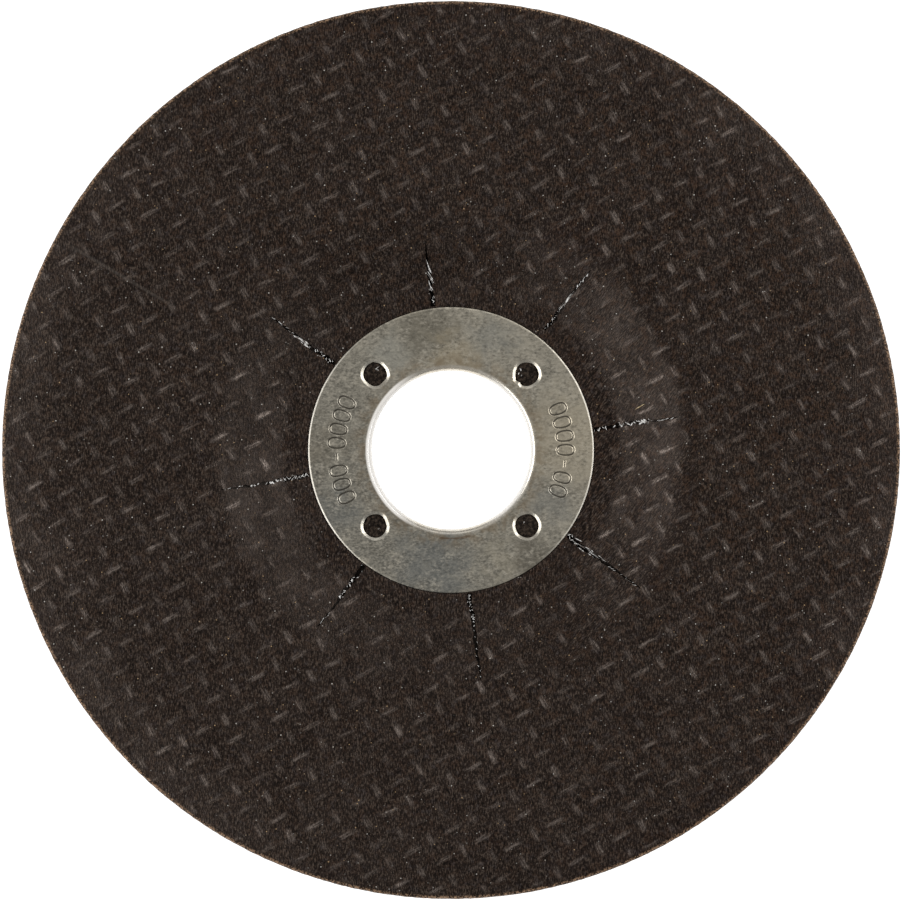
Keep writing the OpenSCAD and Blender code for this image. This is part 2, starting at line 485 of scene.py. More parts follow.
class Shader:
    """One node material; values that are sockets are linked and all others are set."""

    def __init__(self, name):
        self.material = bpy.data.materials.new(name)
        self.material.use_nodes = True
        self.tree = self.material.node_tree
        self.tree.nodes.clear()

    def node(self, kind, settings=None, inputs=None):
        made = self.tree.nodes.new(kind)
        for key, value in (settings or {}).items():
            setattr(made, key, value)
        for key, value in (inputs or {}).items():
            self.feed(made.inputs[key], value)
        return made

    def feed(self, socket, value):
        if isinstance(value, bpy.types.NodeSocket):
            self.tree.links.new(value, socket)
        else:
            socket.default_value = value

    def locate(self):
        """Keeps the object's own position in millimetres: the place, its parts x, y and z, and the radius."""
        raw = self.node("ShaderNodeTexCoord").outputs["Object"]
        scaled = self.node("ShaderNodeVectorMath", {"operation": "SCALE"}, {0: raw, "Scale": 1 / MM})
        self.place = scaled.outputs[0]
        self.parts = tuple(self.node("ShaderNodeSeparateXYZ", None, {0: self.place}).outputs)
        self.x, self.y, self.z = self.parts
        self.r = self.distance(self.x, self.y)

    def math(self, operation, *values):
        made = self.node("ShaderNodeMath", {"operation": operation})
        for socket, value in zip(made.inputs, values):
            self.feed(socket, value)
        return made.outputs[0]

    def add(self, a, b):
        return self.math("ADD", a, b)

    def mul(self, a, b):
        return self.math("MULTIPLY", a, b)

    def sub(self, a, b):
        return self.math("SUBTRACT", a, b)

    def absolute(self, a):
        return self.math("ABSOLUTE", a)

    def distance(self, x, y):
        return self.math("SQRT", self.add(self.mul(x, x), self.mul(y, y)))

    def turned(self, cosine, sine):
        """The parts in axes turned about the wheel's own axis."""
        x = self.add(self.mul(self.x, cosine), self.mul(self.y, sine))
        y = self.sub(self.mul(self.y, cosine), self.mul(self.x, sine))
        return x, y, self.z

    def step(self, value, low, high):
        """Smooth rise from 0 at low to 1 at high."""
        made = self.node("ShaderNodeMapRange", {"interpolation_type": "SMOOTHSTEP"})
        for key, item in (("Value", value), ("From Min", low), ("From Max", high)):
            self.feed(made.inputs[key], item)
        return made.outputs[0]

    def fall(self, value, low, high):
        """Smooth fall from 1 at low to 0 at high."""
        return self.sub(1.0, self.step(value, low, high))

    def vector(self, x, y, z=0.0):
        return self.node("ShaderNodeCombineXYZ", None, {0: x, 1: y, 2: z}).outputs[0]

    def noise(self, vector, scale, detail=2.0, rough=0.5):
        inputs = {"Vector": vector, "Scale": scale, "Detail": detail, "Roughness": rough}
        return self.node("ShaderNodeTexNoise", None, inputs).outputs["Fac"]

    def streaks(self, parts, factors, scale, detail, rough):
        """Noise that is drawn out or pressed together along each axis."""
        scaled = [self.mul(part, factor) for part, factor in zip(parts, factors)]
        return self.noise(self.vector(*scaled), scale, detail, rough)

    def chance(self, vector):
        """Random value that is the same wherever the vector is the same."""
        return self.node("ShaderNodeTexWhiteNoise", None, {"Vector": vector}).outputs[0]

    def lean(self, normal, toward, amount):
        """Turns a normal a little toward a direction."""
        shift = self.node("ShaderNodeVectorMath", {"operation": "SCALE"}, {0: toward, "Scale": amount})
        both = self.node("ShaderNodeVectorMath", {"operation": "ADD"}, {0: normal, 1: shift.outputs[0]})
        return self.node("ShaderNodeVectorMath", {"operation": "NORMALIZE"}, {0: both.outputs[0]}).outputs[0]

    def mix(self, factor, a, b):
        made = self.node("ShaderNodeMix", {"data_type": "RGBA"})
        # Sockets 6 and 7 take the two colours, and output 2 gives the mixed one
        self.feed(made.inputs[0], factor)
        self.feed(made.inputs[6], a)
        self.feed(made.inputs[7], b)
        return made.outputs[2]

    def tint(self, colour, mask, weight, tone):
        """Lays a screen colour over another one where the mask is."""
        return self.mix(self.mul(mask, weight), colour, srgb(tone))

    def bump(self, height, distance, strength):
        inputs = {"Height": height, "Distance": distance, "Strength": strength}
        return self.node("ShaderNodeBump", None, inputs).outputs[0]

    def output(self, shader):
        """Ends the material in this shader."""
        self.node("ShaderNodeOutputMaterial", None, {"Surface": shader.outputs[0]})
        return self.material

    def finish(self, **inputs):
        """Ends the material in one Principled shader."""
        named = {key.replace("_", " "): value for key, value in inputs.items()}
        return self.output(self.node("ShaderNodeBsdfPrincipled", None, named))


def srgb(tone):
    """Linear colour from screen values of 0 to 255."""

    def one(v):
        v = v / 255
        return v / 12.92 if v <= 0.04045 else ((v + 0.055) / 1.055) ** 2.4

    return (*(one(v) for v in tone), 1.0)


# The disc's material, with its colours as screen values

FLEECE_DARK = (14, 11, 10)
FLEECE_MID = (36, 28, 24)
FLEECE_PALE = (79, 69, 61)
FLEECE_WARM = (64, 45, 32)
FLEECE_COOL = (50, 49, 53)
YARN_PALE = (117, 107, 100)
CREASE_PALE = (96, 90, 84)
SPECK_PALE = (208, 204, 196)
SPECK_TAN = (176, 148, 112)
RIM_DARK = (42, 33, 26)
RIM_PALE = (170, 138, 110)
# Painted shade: near black in the slits
SLIT_SHADE = (5, 4, 4)
# Mottled grain in the ring's holes, darkened as painted shade
PLUG_SHADE_DARK = (10, 8, 7)
PLUG_PALE = (62, 53, 45)
SHEEN = (1.0, 0.82, 0.71, 1.0)
# Where and how far the outer flat's normals lean outward
SAG_R = (50.0, 62.0)
SAG = 0.24
# Fleece on the right of the recess: cosine and sine of its slant, and where that begins and ends
FLEECE_SLANT = (0.82, -0.57)
SLANT_FROM_X = (11.0, 20.0)
SLANT_TO_R = (32.0, 36.0)
# Ends of a faint fold in the fleece, how far it fades at them, and where it is solid and gone to the sides
CREASE = ((-54.2, 29.1), (-37.6, 19.4))
CREASE_FADE = 3.0
CREASE_SIDES = (0.05, 0.35)


def shader_crowns(s):
    """Soft mask of the crowns on the relief's lattice, streaked along each yarn, and each one's chance."""

    def wave(value, speed, phase, size):
        return s.mul(s.math("SINE", s.add(s.mul(value, speed), phase)), size)

    def count(normal, period, shift, extra):
        flat = s.add(s.mul(s.x, normal[0] / period), s.mul(s.y, normal[1] / period))
        return s.add(s.sub(flat, shift), extra)

    du = s.add(wave(s.y, DRIFT_WAVE, PHASE_U, DRIFT), wave(s.x, CROSS_WAVE_U, 0.0, CROSS_DRIFT))
    dv = s.add(wave(s.x, DRIFT_WAVE, PHASE_V, DRIFT), wave(s.y, CROSS_WAVE_V, 0.0, CROSS_DRIFT))
    u = count(NORMAL_U, PERIOD_U, SHIFT_A, du)
    v = count(NORMAL_V, PERIOD_V, SHIFT_B, dv)
    i, j = s.math("ROUND", u), s.math("ROUND", v)
    a, b = s.mul(s.sub(u, i), PITCH_A), s.mul(s.sub(v, j), PITCH_B)
    first = s.math("FLOORED_MODULO", s.add(i, j), 2.0)
    second = s.sub(1.0, first)
    chance = s.chance(s.vector(i, j, 3.0))
    shift = s.sub(s.chance(s.vector(i, j, 8.0)), 0.5)
    ragged = s.sub(s.noise(s.place, 1.6, 3.0, 0.65), 0.5)
    along = s.add(s.mul(first, a), s.mul(second, b))
    along = s.add(along, s.add(s.mul(shift, 0.7), s.mul(ragged, 1.4)))
    across = s.add(s.mul(first, b), s.mul(second, a))
    across = s.add(across, s.mul(ragged, 0.35))
    fibre = s.streaks((along, across, chance), (0.55, 5.5, 40.0), 1.0, 2.0, 0.6)
    half_len = s.sub(1.75, s.mul(second, 0.5))
    half_w = s.add(0.44, s.mul(second, 0.12))
    ends = s.fall(s.absolute(along), 0.4, half_len)
    sides = s.fall(s.absolute(across), 0.08, half_w)
    strands = s.add(0.2, s.step(fibre, 0.40, 0.60))
    return s.mul(s.mul(ends, sides), strands), chance


def crease_mask(s):
    """Faint fold in the fleece between the two ends of CREASE, on the recessed face only."""
    (x0, y0), (x1, y1) = CREASE
    length = math.hypot(x1 - x0, y1 - y0)
    ux, uy = (x1 - x0) / length, (y1 - y0) / length
    along = s.add(s.mul(s.sub(s.x, x0), ux), s.mul(s.sub(s.y, y0), uy))
    across = s.sub(s.mul(s.sub(s.y, y0), ux), s.mul(s.sub(s.x, x0), uy))
    inside_ends = s.mul(s.step(along, 0.0, CREASE_FADE), s.fall(along, length - CREASE_FADE, length))
    line = s.mul(inside_ends, s.fall(s.absolute(across), *CREASE_SIDES))
    return s.mul(line, s.step(s.z, FACE_TOP - 1.0, FACE_TOP - 0.5))


def fleece_streaks(s):
    """Felted fibres: upright, but slanted on the right of the recess."""
    upright = s.streaks(s.parts, (6.8, 1.8, 2.5), 1.0, 1.0, 0.5)
    slanted = s.streaks(s.turned(*FLEECE_SLANT), (6.0, 1.6, 1.0), 1.0, 1.0, 0.5)
    leaning = s.mul(s.step(s.x, *SLANT_FROM_X), s.fall(s.r, *SLANT_TO_R))
    return s.add(upright, s.mul(leaning, s.sub(slanted, upright)))


def fleece_colour(s, fleece):
    """Near black to grey along the fibres, with warm and cool areas."""
    colour = s.mix(s.step(fleece, 0.36, 0.52), srgb(FLEECE_DARK), srgb(FLEECE_MID))
    colour = s.tint(colour, s.step(fleece, 0.50, 0.66), 0.9, FLEECE_PALE)
    warm = s.mul(s.step(s.noise(s.place, 0.8, 3.0, 0.7), 0.46, 0.64), s.step(fleece, 0.40, 0.56))
    warm_side = s.step(s.add(s.x, s.mul(s.y, 0.7)), -60.0, 60.0)
    colour = s.tint(colour, warm, s.add(0.25, s.mul(warm_side, 0.3)), FLEECE_WARM)
    cool = s.mul(s.step(s.noise(s.place, 1.3, 2.0, 0.6), 0.52, 0.68), s.step(fleece, 0.42, 0.58))
    return s.tint(colour, cool, 0.4, FLEECE_COOL)


def yarn_mask(s, fleece):
    """How much of the glass yarn shows at each crossing."""
    crown, chance = shader_crowns(s)
    zone = s.mul(s.step(s.r, FLOOR_R - 2.5, FLOOR_R + 1.5), s.fall(s.r, WHEEL_R - 1.2, WHEEL_R - 0.4))
    worn = s.add(0.55, s.mul(s.step(s.noise(s.place, 0.11, 2.0, 0.5), 0.38, 0.62), 0.45))
    level = s.mul(s.add(0.2, s.mul(s.math("POWER", chance, 1.3), 0.46)), worn)
    fibres = s.add(0.5, s.mul(s.step(fleece, 0.38, 0.60), 0.65))
    return s.mul(s.mul(crown, zone), s.mul(level, fibres))


def with_specks(s, colour):
    """Specks of bright grain: scattered large ones, and small ones in patches."""
    patchy = s.step(s.noise(s.place, 0.3, 2.0, 0.6), 0.46, 0.62)
    # Scale, where a dot is solid and where it ends, the lot at which dots begin, and weight
    specks = ((1.0, 0.05, 0.12, 0.4, 0.85), (1.8, 0.06, 0.2, 0.66, s.mul(patchy, 0.7)))
    for scale, solid, reach, rare, weight in specks:
        cells = s.node("ShaderNodeTexVoronoi", None, {"Vector": s.place, "Scale": scale})
        lot = s.chance(cells.outputs["Position"])
        dot = s.fall(cells.outputs["Distance"], solid, reach)
        speck = s.mix(s.step(lot, 0.88, 0.9), srgb(SPECK_PALE), srgb(SPECK_TAN))
        colour = s.mix(s.mul(dot, s.mul(s.step(lot, rare, 0.92), weight)), colour, speck)
    return colour


def with_rim(s, colour, grain):
    """Brown bare grain on the cut outer edge."""
    bare = s.mix(s.step(grain, 0.42, 0.62), srgb(RIM_DARK), srgb(RIM_PALE))
    return s.mix(s.mul(s.step(s.r, WHEEL_R - 0.6, WHEEL_R - 0.2), 0.85), colour, bare)


def with_slit_shade(s, colour):
    """Painted shade on the ground of the slits, found by its depth below the face."""
    sharp_face = s.add(WHEEL_T, s.mul(s.math("MAXIMUM", s.sub(s.r, FLOOR_R), 0.0), math.tan(SLOPE)))
    below = s.sub(sharp_face, s.z)
    sunk = s.mul(s.step(below, 0.2, 0.4), s.fall(below, 0.8, 1.0))
    sunk = s.mul(sunk, s.fall(s.r, CONE_R, CONE_R + 0.5))
    sunk = s.mul(sunk, s.step(s.r, RING_R, RING_R + 0.1))
    # Near black painted shade where the face is sunk
    return s.tint(colour, sunk, 0.85, SLIT_SHADE)


def with_plug_grain_and_shade(s, colour):
    """Mottled grain in the ring's holes, kept dark as painted shade."""
    grain = s.step(s.noise(s.place, 2.2, 3.0, 0.6), 0.42, 0.66)
    mottled = s.mix(grain, srgb(PLUG_SHADE_DARK), srgb(PLUG_PALE))
    plug = s.mul(s.fall(s.r, RING_R - 1.0, RING_R - 0.5), s.step(s.z, 1.0, 1.5))
    return s.mix(s.mul(plug, 0.85), colour, mottled)


def abrasive_material():
    """Dark fleece over bonded grain, paler where the glass yarns rise, with painted shade in the slits and in
    the ring's holes.
    """
    s = Shader("abrasive")
    s.locate()
    grain = s.noise(s.place, 5.0, 1.0, 0.5)
    fleece = s.add(s.mul(fleece_streaks(s), 0.64), s.mul(grain, 0.36))
    yarn = yarn_mask(s, fleece)
    colour = s.mix(yarn, fleece_colour(s, fleece), srgb(YARN_PALE))
    colour = s.tint(colour, crease_mask(s), 0.22, CREASE_PALE)
    colour = with_specks(s, colour)
    colour = with_rim(s, colour, grain)
    colour = with_slit_shade(s, colour)
    colour = with_plug_grain_and_shade(s, colour)
    outward = s.vector(s.math("DIVIDE", s.x, s.r), s.math("DIVIDE", s.y, s.r))
    normal = s.bump(fleece, 0.2 * MM, 0.45)
    uneven = s.step(s.noise(s.place, 0.22, 2.0, 0.5), 0.36, 0.64)
    return s.finish(
        Base_Color=colour,
        Roughness=s.sub(0.42, s.mul(yarn, 0.15)),
        Specular_IOR_Level=s.add(s.add(0.12, s.mul(uneven, 0.1)), s.mul(yarn, 1.1)),
        Specular_Tint=SHEEN,
        Normal=s.lean(normal, outward, s.mul(s.step(s.r, *SAG_R), SAG)),
    )


def wheel():
    """The disc: both faces, rim, seat, and the grain in the ring's holes."""
    pile = Pile()
    add_face(pile)
    add_rim(pile)
    add_back(pile)
    add_seat(pile)
    add_plugs(pile)
    obj = pile.piece("bonded_disc", abrasive_material())
    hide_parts("abrasive_wheel")
    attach(obj, "root")


# Glass fibre torn out in the slits

# Splinters: slit, where along it they start and end (0 to 1), how many, then length, width, lean and
# sideways spread
GLASS = (
    (0, 0.03, 0.16, 7, 0.7, 0.1, 60, 0.12),
    (0, 0.28, 0.52, 14, 0.6, 0.15, 45, 0.16),
    (0, 0.56, 0.66, 8, 0.85, 0.22, 35, 0.15),
    (0, 0.72, 0.92, 5, 0.8, 0.09, 8, 0.07),
    (1, 0.02, 0.34, 13, 0.4, 0.08, 40, 0.17),
    (1, 0.40, 0.58, 7, 2.1, 0.12, 3, 0.14),
    (1, 0.57, 0.63, 3, 0.6, 0.15, 10, 0.05),
    (1, 0.70, 0.96, 9, 0.4, 0.11, 25, 0.08),
    (2, 0.02, 0.28, 8, 0.35, 0.08, 40, 0.15),
    (2, 0.30, 0.72, 12, 1.6, 0.1, 24, 0.12),
    (3, 0.02, 0.36, 18, 0.4, 0.1, 40, 0.17),
    (3, 0.46, 0.60, 10, 2.0, 0.15, 5, 0.24),
    (3, 0.62, 0.98, 9, 0.5, 0.08, 15, 0.1),
    (4, 0.02, 0.34, 22, 0.6, 0.075, 50, 0.12),
    (4, 0.36, 0.50, 9, 0.6, 0.21, 50, 0.13),
    (4, 0.62, 0.68, 4, 0.55, 0.28, 40, 0.1),
    (4, 0.78, 0.98, 6, 0.4, 0.12, 15, 0.07),
    (5, 0.02, 0.18, 4, 0.3, 0.07, 40, 0.2),
    (5, 0.24, 0.54, 18, 0.45, 0.12, 45, 0.25),
    (5, 0.80, 0.96, 5, 1.0, 0.09, 4, 0.06),
    (6, 0.02, 0.38, 20, 0.35, 0.085, 45, 0.14),
    (6, 0.45, 0.98, 8, 0.3, 0.07, 30, 0.12),
    (7, 0.00, 0.14, 8, 0.45, 0.09, 40, 0.15),
    (7, 0.14, 0.50, 17, 1.4, 0.11, 6, 0.17),
    (7, 0.56, 1.00, 12, 0.6, 0.06, 12, 0.16),
)
# Each splinter's share of size, height over the face, tilt and spread of lean. Those that lean more than
# CROSSED_LEAN degrees fall to either side
SPLINTER_SIZE = (0.5, 1.2)
SPLINTER_RISE = (-0.1, 0.04)
SPLINTER_TILT = 0.05
LEAN_SPREAD = 8
CROSSED_LEAN = 30
SPLINTER_T = 0.1
SPLINTER_SHAPE = ((-1, 0), (-0.4, -1), (0.5, -1), (1, 0), (0.4, 1), (-0.5, 1))
SPLINTER_ANGLE = 25
# Flecks in the ring's holes: bearing of the hole, place from its middle, length, width and bearing
FLECKS = (
    (45, (-0.87, 0.65), 0.5, 0.14, 110),
    (45, (-1.12, 0.1), 0.35, 0.14, 70),
    (45, (-0.75, -0.2), 0.3, 0.08, 60),
    (135, (0.28, 0.87), 0.75, 0.09, 38),
    (135, (0.35, 0.6), 0.4, 0.07, 160),
    (225, (0.5, -0.4), 0.3, 0.06, 30),
    (315, (-0.4, 0.5), 0.3, 0.06, 75),
)
FLECK_Z = WHEEL_T - 0.02
FLECK_TILT = 0.02
# The loose fibre's two ends, its width and its height over the cone
FIBRE = ((25.6, 5.6), (27.1, 6.5))
FIBRE_W = 0.13
FIBRE_LIFT = 0.12
GLASS_GREY = (100, 91, 84)
GLASS_WHITE = (240, 238, 234)
STRAW_DARK = (150, 128, 92)
STRAW_PALE = (196, 176, 136)


def glass_material():
    """Torn glass: mostly white, greyed and browned with resin in places."""
    s = Shader("torn_glass")
    s.locate()
    clean = s.step(s.noise(s.place, 1.6, 2.0, 0.6), 0.36, 0.56)
    colour = s.mix(clean, srgb(GLASS_GREY), srgb(GLASS_WHITE))
    return s.finish(Base_Color=colour, Roughness=0.3, Specular_IOR_Level=0.5)


def fibre_material():
    """One loose straw coloured strand."""
    s = Shader("loose_fibre")
    s.locate()
    colour = s.mix(s.step(s.noise(s.place, 3.0), 0.4, 0.6), srgb(STRAW_DARK), srgb(STRAW_PALE))
    return s.finish(Base_Color=colour, Roughness=0.5)


def splinter(pile, at, bearing, length, width, height, tilt):
    """Thin six sided flake, tapered to both ends."""
    along, across = direction(bearing) * length / 2, direction(bearing + 90) * width / 2
    points = [(*(at + p * along + q * across), height + p * tilt) for p, q in SPLINTER_SHAPE]
    thick = min(width, SPLINTER_T) / 2
    sides = len(points)
    points += [(*at, height + thick), (*at, height - thick)]
    faces = []
    for k in range(sides):
        m = (k + 1) % sides
        faces += [(k, m, sides), (m, k, sides + 1)]
    pile.add(points, faces)


def slivers():
    """Splinters of torn yarn in each slit, and a few in the ring's holes."""
    pile = Pile()
    rng = np.random.default_rng(GLASS_SEED)
    for slit, start, end, number, length, width, lean, spread in GLASS:
        loop = slit_outline(slit)
        middle = (loop[:SLIT_STEPS] + loop[: SLIT_STEPS - 1 : -1]) / 2
        for t in np.linspace(start, end, number):
            at = middle[int(t * (SLIT_STEPS - 1))] + rng.normal(0, spread, 2)
            side = rng.choice([-1, 1]) if lean > CROSSED_LEAN else 1
            bearing = SLITS[slit][0] + side * rng.normal(lean, LEAN_SPREAD)
            height = face_height(np.hypot(*at)) + rng.uniform(*SPLINTER_RISE)
            size = rng.uniform(*SPLINTER_SIZE)
            tilt = rng.uniform(-SPLINTER_TILT, SPLINTER_TILT)
            splinter(pile, at, bearing, length * size, width * size, height, tilt)
    for hole, offset, length, width, bearing in FLECKS:
        splinter(pile, GRIP_R * direction(hole) + offset, bearing, length, width, FLECK_Z, FLECK_TILT)
    obj = pile.piece("slit_glass", glass_material(), SPLINTER_ANGLE)
    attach(obj, "root")


def loose_fibre():
    """Single strand that lies on the cone."""
    pile = Pile()
    start, end = np.array(FIBRE)
    bearing = math.degrees(math.atan2(*(end - start)[::-1]))
    rise = (face_height(np.hypot(*end)) - face_height(np.hypot(*start))) / 2
    middle = (start + end) / 2
    height = face_height(np.hypot(*middle)) + FIBRE_LIFT
    splinter(pile, middle, bearing, np.hypot(*(end - start)), FIBRE_W, height, rise)
    obj = pile.piece("loose_fibre", fibre_material(), SPLINTER_ANGLE)
    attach(obj, "root")


# The steel ring's material, with its colours as screen values

SHEET_COOL = (130, 129, 122)
SHEET_WARM = (210, 201, 181)
SCRAPE_PALE = (220, 212, 194)
FLECK_DARK = (94, 91, 83)
FLECK_PALE = (236, 227, 208)
BORE_STAIN = (150, 130, 102)
RUST = (112, 84, 58)
PIT_DARK = (76, 69, 61)
# Painted shade in the stamped marks' grooves
GROOVE_SHADE = (64, 59, 52)
# Pale of the rubbed edges, with painted highlight on the outer brink
RUBBED_AND_HIGHLIGHT_PALE = (238, 232, 220)
# Painted highlight on the bend's brow
BROW_HIGHLIGHT_WHITE = (252, 248, 242)
# Cosine and sine of the slant of the scrapes
SCRAPE_SLANT = (0.87, 0.5)
# The rusty scratch: radius, and where it fades in and out from left to right
RUST_R = 12.35
RUST_LEFT = (-2.2, -1.2)
RUST_RIGHT = (2.2, 3.4)
# Stretches of the flange that carry the stamped marks
STAMPED_R = (14.0, 14.3)
STAMPED_Y = (8.0, 8.4)
# Soft patches on the flange: x, y, reach, weight and colour
RING_PATCHES = (
    (-3.5, 17.0, 5.5, 0.5, (112, 105, 89)),
    (5.0, 15.5, 4.5, 0.35, (152, 155, 151)),
    (-9.0, 13.5, 4.0, 0.35, (190, 190, 180)),
    (0.5, 12.6, 5.0, 0.4, (214, 196, 162)),
    (17.0, 1.5, 10.0, 0.45, (220, 206, 178)),
    (14.0, -7.0, 4.0, 0.4, (136, 139, 137)),
    (-2.5, -16.0, 7.5, 0.5, (120, 126, 128)),
    (7.0, -15.5, 3.5, 0.35, (196, 186, 162)),
    (11.5, -15.0, 4.0, 0.6, (106, 99, 86)),
    (-18.0, 0.5, 4.5, 0.4, (136, 126, 108)),
    (-16.0, -8.5, 4.0, 0.4, (132, 136, 135)),
)
# Rounded mouths of the grip holes
MOUTH_W = 0.42
MOUTH_DROP = 0.22
MOUTH_CURVE = 1.15
MOUTH_POINTS = 7


def sheet_colour(s, small, grain):
    """Galvanised sheet: paler and warmer toward the upper right, mottled, with rolling streaks and slanted
    scrapes.
    """
    toward = s.add(s.mul(s.x, 0.6), s.mul(s.y, 0.6))
    colour = s.mix(s.step(toward, -28.0, 28.0), srgb(SHEET_COOL), srgb(SHEET_WARM))
    mottled = s.noise(s.place, 0.6, 5.0, 0.7)
    rolled = s.streaks(s.parts, (0.5, 3.2, 1.0), 1.0, 3.0, 0.65)
    # Pattern, where its mask starts and is full, weight and colour
    layers = (
        (mottled, 0.48, 0.68, 0.6, (92, 88, 78)),
        (mottled, 0.50, 0.32, 0.55, (232, 222, 200)),
        (small, 0.32, 0.78, 0.6, (92, 89, 81)),
        (grain, 0.28, 0.76, 0.65, (216, 208, 190)),
        (rolled, 0.46, 0.70, 0.25, (92, 89, 82)),
    )
    for pattern, start, full, weight, tone in layers:
        colour = s.tint(colour, s.step(pattern, start, full), weight, tone)
    scraped = s.streaks(s.turned(*SCRAPE_SLANT), (0.4, 4.0, 1.0), 1.0, 3.0, 0.65)
    scraped = s.mul(s.step(scraped, 0.50, 0.72), s.step(s.sub(s.x, s.y), 2.0, 18.0))
    return s.tint(colour, scraped, 0.4, SCRAPE_PALE)


def rust_mask(s, small):
    """One ragged rusty scratch below the bore."""
    away = s.add(s.absolute(s.sub(s.r, RUST_R)), s.mul(s.sub(small, 0.5), 0.5))
    side = s.mul(s.step(s.x, *RUST_LEFT), s.fall(s.x, *RUST_RIGHT))
    return s.mul(s.mul(side, s.step(s.y, -10.0, -11.0)), s.fall(away, 0.06, 0.2))


def with_stains(s, colour, small):
    """Soft patches, flecks, tan stains by the bore, the rusty scratch and pits."""
    cloud = s.noise(s.place, 0.45, 3.0, 0.6)
    ragged = s.mul(s.sub(cloud, 0.5), 9.0)
    for patch_x, patch_y, reach, weight, tone in RING_PATCHES:
        away = s.add(s.distance(s.sub(s.x, patch_x), s.sub(s.y, patch_y)), ragged)
        colour = s.tint(colour, s.fall(away, 0.2 * reach, reach), weight, tone)
    flecked = s.streaks(s.parts, (1.5, 2.2, 1.0), 1.2, 3.0, 0.65)
    rough_spots = s.add(0.35, s.mul(s.step(cloud, 0.42, 0.58), 0.65))
    colour = s.tint(colour, s.mul(s.step(flecked, 0.46, 0.74), rough_spots), 0.65, FLECK_DARK)
    colour = s.tint(colour, s.mul(s.step(flecked, 0.50, 0.28), rough_spots), 0.55, FLECK_PALE)
    patchy = s.step(s.noise(s.place, 0.7, 4.0, 0.65), 0.40, 0.62)
    by_bore = s.mul(s.fall(s.r, BORE_R + 1.2, BORE_R + 3.4), patchy)
    colour = s.tint(colour, by_bore, 0.5, BORE_STAIN)
    colour = s.tint(colour, rust_mask(s, small), 0.65, RUST)
    pits = s.step(s.noise(s.place, 3.0, 2.0, 0.7), 0.66, 0.76)
    return s.tint(colour, pits, 0.5, PIT_DARK)


def groove_shade_mask(s):
    """Painted shade on the ground of the stamped marks, found by its depth in the stamped stretches of the
    flange.
    """
    stamped = s.mul(s.step(s.r, *STAMPED_R), s.fall(s.absolute(s.y), *STAMPED_Y))
    return s.mul(stamped, s.fall(s.z, RING_TOP - 0.07, RING_TOP - 0.02))


def rubbed_edges_and_highlights(s):
    """Masks of the rubbed hole mouths and bore roll joined with the painted highlight on the outer brink at
    the left and right, of that brink highlight alone, and of the painted highlight on the bend's brow, which
    is brightest.
    """
    corner = GRIP_R * math.sqrt(0.5)
    from_hole = s.distance(s.sub(s.absolute(s.x), corner), s.sub(s.absolute(s.y), corner))
    mouth = s.fall(from_hole, GRIP_HOLE_R + 0.3, GRIP_HOLE_R + MOUTH_W + 0.05)
    above_collar = s.step(s.z, RING_TOP - ROLL_R - 0.1, RING_TOP - ROLL_R + 0.1)
    roll = s.mul(s.fall(s.r, BORE_R + 0.55, BORE_R + 0.95), above_collar)
    sideways = s.math("DIVIDE", s.absolute(s.x), s.r)
    # Painted highlight: the outer brink is paler only at the left and right
    brink_highlight = s.mul(s.step(s.r, RING_R - EDGE_W, RING_R - 0.8 * EDGE_W), s.step(sideways, 0.55, 0.9))
    rubbed_and_highlight = s.math("MAXIMUM", s.math("MAXIMUM", s.mul(mouth, 0.4), s.mul(roll, 0.85)), brink_highlight)
    # Painted highlight: the bend's brow at the left and right is painted near white
    past_bore = s.sub(s.sub(s.r, BORE_R), s.mul(s.step(s.x, 4.0, -8.0), 0.4))
    brow_highlight = s.mul(s.fall(past_bore, 0.27, 0.57), s.step(sideways, 0.35, 0.7))
    return rubbed_and_highlight, brink_highlight, s.mul(brow_highlight, above_collar)


def ring_material():
    """Dull galvanised sheet: cloudy grey, stained and pitted, bright on its rubbed edges, with painted shade
    in the stamped marks and painted highlights on the outer brink and the bend's brow at the left and right.
    """
    s = Shader("ring_steel")
    s.locate()
    small = s.streaks(s.parts, (1.1, 1.5, 1.0), 1.0, 3.0, 0.6)
    grain = s.streaks(s.parts, (1.8, 2.6, 1.0), 1.5, 2.0, 0.6)
    rubbed_and_highlight, brink_highlight, brow_highlight = rubbed_edges_and_highlights(s)
    colour = with_stains(s, sheet_colour(s, small, grain), small)
    colour = s.tint(colour, groove_shade_mask(s), 0.85, GROOVE_SHADE)
    # Rubbed edges, and painted highlight on the outer brink at the left and right
    colour = s.tint(colour, rubbed_and_highlight, 0.6, RUBBED_AND_HIGHLIGHT_PALE)
    # Painted highlight on the bend's brow, near white and not metallic
    colour = s.tint(colour, brow_highlight, 0.95, BROW_HIGHLIGHT_WHITE)
    polish = s.sub(s.mul(s.add(rubbed_and_highlight, brow_highlight), 0.08), s.mul(brink_highlight, 0.18))
    uneven = s.add(s.mul(grain, 0.5), small)
    return s.finish(
        Base_Color=colour,
        Metallic=s.sub(0.7, s.mul(brow_highlight, 0.7)),
        Roughness=s.add(s.sub(0.36, polish), s.mul(s.sub(small, 0.5), 0.3)),
        Specular_IOR_Level=s.add(0.5, s.mul(brow_highlight, 0.5)),
        Normal=s.bump(uneven, 0.012 * MM, s.mul(s.sub(1.0, rubbed_and_highlight), 0.6)),
    )


# The steel ring's mesh

STAMP_R = 16.0
STAMP_HALF_W = 0.16
STAMP_DEPTH = 0.1
STAMP_MARKS = ((0.0, "0000-00"), (math.pi, "000-0000"))
DIGIT_H = 2.4
DIGIT_W = 1.45
DIGIT_STEP = 1.95
DIGIT_SQUARE = 0.8
DIGIT_POINTS = 33
BAR_HALF = 0.45
# Columns in degrees: close together within the span either side of a mark's middle
FINE_SPAN = 30
FINE_STEP = 0.3
COARSE_STEP = 2.0
